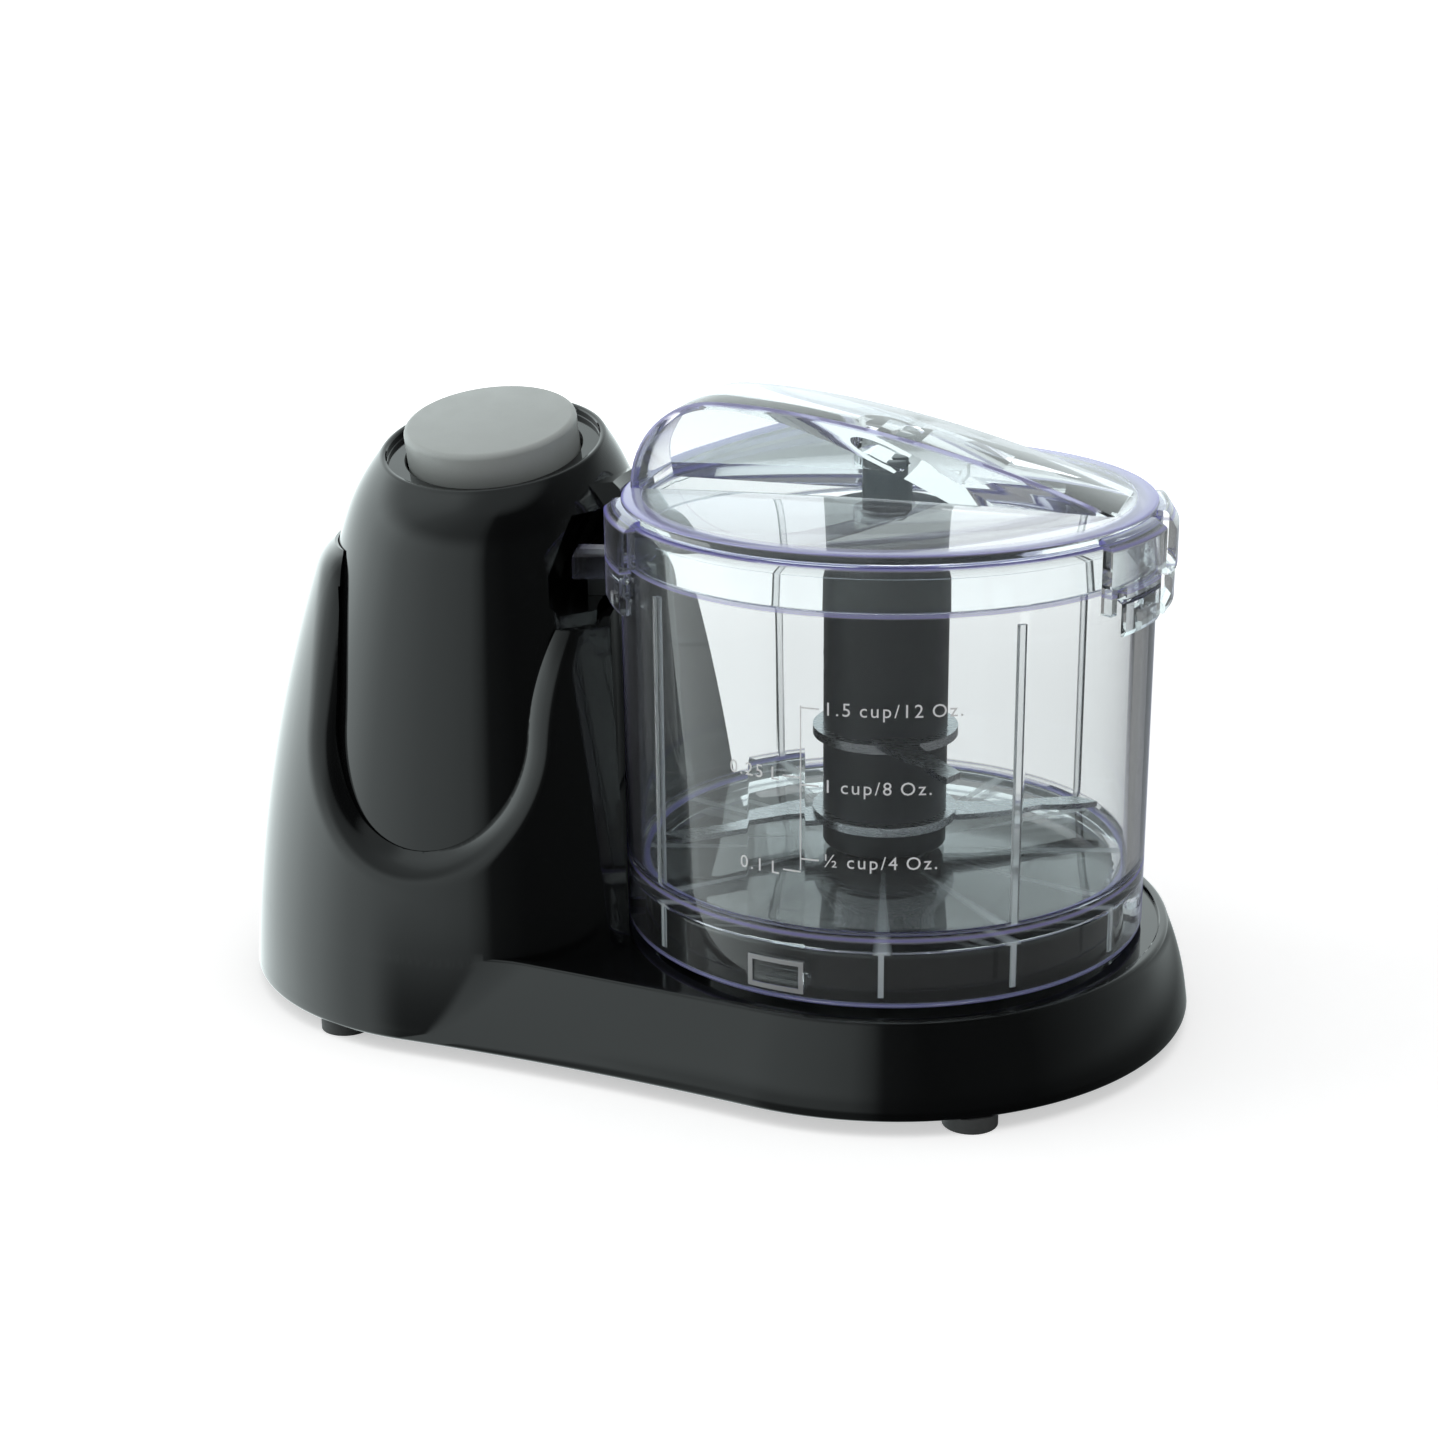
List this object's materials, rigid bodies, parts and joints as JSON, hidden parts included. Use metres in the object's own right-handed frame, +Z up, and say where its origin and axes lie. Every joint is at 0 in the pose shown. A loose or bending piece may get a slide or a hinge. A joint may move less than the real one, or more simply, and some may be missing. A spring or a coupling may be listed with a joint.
{
  "type": "electric mini food chopper",
  "caption": "Electric mini chopper: a glossy black motor tower with a grey pulse button beside a clear bowl, with a locking clear lid, on one base.",
  "frame": {"origin": "on the table under the middle of the overall plan, at the undersides of the feet", "axes": "+X from the motor tower towards the bowl, +Y to the back, +Z up"},
  "size_m": [0.209, 0.13, 0.131],
  "materials": {
    "gloss_black": "high-gloss moulded black plastic",
    "grey_button": "satin grey moulded plastic",
    "clear_plastic": "clear plastic with a faint violet edge",
    "satin_black": "satin black moulded plastic",
    "blade_steel": "brushed stainless steel",
    "plain_steel": "plain steel",
    "bronze": "sintered bronze",
    "grey_rubber": "grey rubber",
    "black_rubber": "black rubber",
    "board": "green circuit board"
  },
  "bodies": {
    "base": {"bottom_plate": "satin_black", "capacitor": "satin_black", "circuit_board": "board", "cord_gland": "black_rubber", "drive_belt": "black_rubber", "main_housing": "gloss_black", "motor_bracket": "satin_black", "motor_can": "plain_steel", "motor_end_cap": "satin_black", "pulse_switch": "satin_black", "rubber_feet": "grey_rubber", "spindle_sleeve": "bronze", "tower_cover": "gloss_black"},
    "button": {"pulse_button": "grey_button"},
    "rotor": {"motor_shaft": "plain_steel", "motor_pulley": "satin_black"},
    "spindle": {"drive_spindle": "plain_steel", "drive_pulley": "satin_black", "drive_coupler": "satin_black", "blade_hub": "satin_black", "lower_blade": "blade_steel", "upper_blade": "blade_steel"},
    "bowl": {"bowl": "clear_plastic"},
    "lid": {"lid": "clear_plastic"},
    "interlock": {"interlock_slider": "satin_black"}
  },
  "joints": [
    {"name": "button_press", "type": "slide", "parent": "base", "child": "button", "axis": [0, 0.2334, -0.9724], "range_m": [0, 0.004], "stiffness_N_per_m": 400, "springref_m": -0.002},
    {"name": "spindle_spin", "type": "hinge", "parent": "base", "child": "spindle", "pos_m": [0.0395, 0, 0], "axis": [0, 0, 1], "continuous": true},
    {"name": "motor_spin", "type": "hinge", "parent": "base", "child": "rotor", "pos_m": [-0.0475, 0, 0], "axis": [0, 0, 1], "continuous": true},
    {"name": "bowl_turn", "type": "hinge", "parent": "base", "child": "bowl", "pos_m": [0.0395, 0, 0], "axis": [0, 0, 1], "range_deg": [0, 20]},
    {"name": "lid_turn", "type": "hinge", "parent": "bowl", "child": "lid", "pos_m": [0.0395, 0, 0], "axis": [0, 0, 1], "range_deg": [0, 8]},
    {"name": "interlock_slide", "type": "slide", "parent": "base", "child": "interlock", "axis": [0, -1, 0], "range_m": [0, 0.003]}
  ],
  "couplings": [
    {"joint": "motor_spin", "follows": "spindle_spin", "ratio": 3.3333},
    {"joint": "interlock_slide", "follows": "lid_turn", "m_per_rad": 0.0214}
  ]
}
